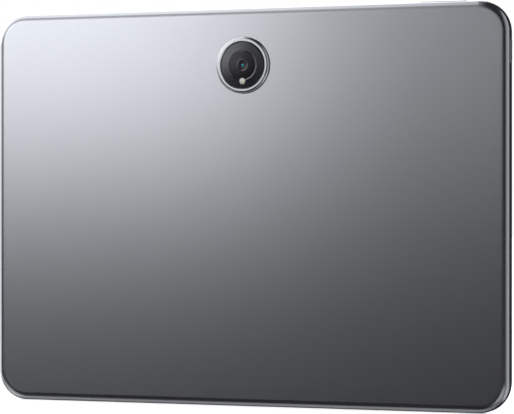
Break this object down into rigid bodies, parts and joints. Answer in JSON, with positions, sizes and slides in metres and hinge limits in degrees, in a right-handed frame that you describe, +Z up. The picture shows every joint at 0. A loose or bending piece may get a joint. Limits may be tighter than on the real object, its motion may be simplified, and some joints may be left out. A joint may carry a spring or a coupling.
{
  "type": "tablet computer",
  "caption": "Thin metal-bodied tablet computer standing on its long edge, with a round rear camera, a power key, a rocking volume key and a glass front.",
  "frame": {"origin": "middle of the bottom long edge, at half the thickness", "axes": "+X along the long side, to the right when the back is faced; +Y through the thickness from the back to the glass; +Z up, from the bottom edge to the top edge"},
  "size_m": [0.269, 0.008, 0.1954],
  "materials": {
    "anodised_aluminium": "fine bead-blasted anodising, satin",
    "polished_trim": "polished anodised aluminium",
    "dark_metal": "dark anodised, satin",
    "black_glass": "black-backed glass, polished",
    "front_glass": "cover glass over a dark display, polished",
    "coated_lens": "coated optical glass",
    "flash_plastic": "clear moulded lens",
    "flash_phosphor": "phosphor",
    "steel": "drawn stainless steel",
    "magnet_nickel": "nickel plated",
    "gold_contacts": "gold plated",
    "black_plastic": "moulded, matt",
    "black_rubber": "matt",
    "mesh_fabric": "woven mesh",
    "circuit_board": "solder mask",
    "chip_plastic": "moulded package",
    "flex_film": "polyimide film",
    "graphite": "graphite sheet",
    "battery_film": "laminated pouch",
    "adhesive": "stretch adhesive",
    "display_glass": "liquid-crystal cell",
    "clear_acrylic": "light guide",
    "copper": "enamelled copper wire"
  },
  "bodies": {
    "tablet": {"backlight_bar": "chip_plastic", "battery_adhesive": "adhesive", "battery_cell_left": "battery_film", "battery_cell_right": "battery_film", "battery_flex": "flex_film", "battery_protection_board": "circuit_board", "board_connectors": "chip_plastic", "board_screws": "steel", "camera_barrel": "black_plastic", "camera_cover_glass": "black_glass", "camera_flex": "flex_film", "camera_gasket": "black_rubber", "camera_inner_disc": "black_glass", "camera_lens": "coated_lens", "camera_lens_ring": "dark_metal", "camera_module": "black_plastic", "camera_trim_ring": "polished_trim", "contact_board": "circuit_board", "contact_insert": "black_plastic", "contact_pads": "gold_contacts", "display_cell": "display_glass", "display_flex": "flex_film", "display_seal_frame": "black_plastic", "display_tray": "steel", "edge_magnets": "magnet_nickel", "flash_board": "circuit_board", "flash_chips": "flash_phosphor", "flash_lens": "flash_plastic", "front_camera_lens": "coated_lens", "front_camera_module": "black_plastic", "front_cover_glass": "front_glass", "heat_spreaders": "graphite", "light_guide": "clear_acrylic", "light_sensor": "chip_plastic", "main_board": "circuit_board", "main_flex": "flex_film", "microphones": "chip_plastic", "pen_charging_coil": "copper", "power_bracket": "steel", "power_switch": "chip_plastic", "processor": "chip_plastic", "rear_housing": "anodised_aluminium", "shield_cans": "steel", "side_key_flex": "flex_film", "speaker_left_lower": "black_plastic", "speaker_left_upper": "black_plastic", "speaker_meshes": "mesh_fabric", "speaker_right_lower": "black_plastic", "speaker_right_upper": "black_plastic", "support_chips": "chip_plastic", "usb_board": "circuit_board", "usb_c_gasket": "black_rubber", "usb_c_shell": "steel", "usb_c_tongue": "black_plastic", "volume_bracket": "steel", "volume_switches": "chip_plastic", "wireless_antennas": "black_plastic"},
    "power_key": {"power_button": "anodised_aluminium"},
    "volume_key": {"volume_rocker": "anodised_aluminium"}
  },
  "joints": [
    {"name": "power_press", "type": "slide", "parent": "tablet", "child": "power_key", "axis": [-1, 0, 0], "range_m": [0, 0.00025], "stiffness_N_per_m": 3000},
    {"name": "volume_rock", "type": "hinge", "parent": "tablet", "child": "volume_key", "pos_m": [0.1012, 0.0006, 0.1934], "axis": [0, 1, 0], "range_deg": [-1.2, 1.2], "stiffness_Nm_per_rad": 0.5}
  ]
}
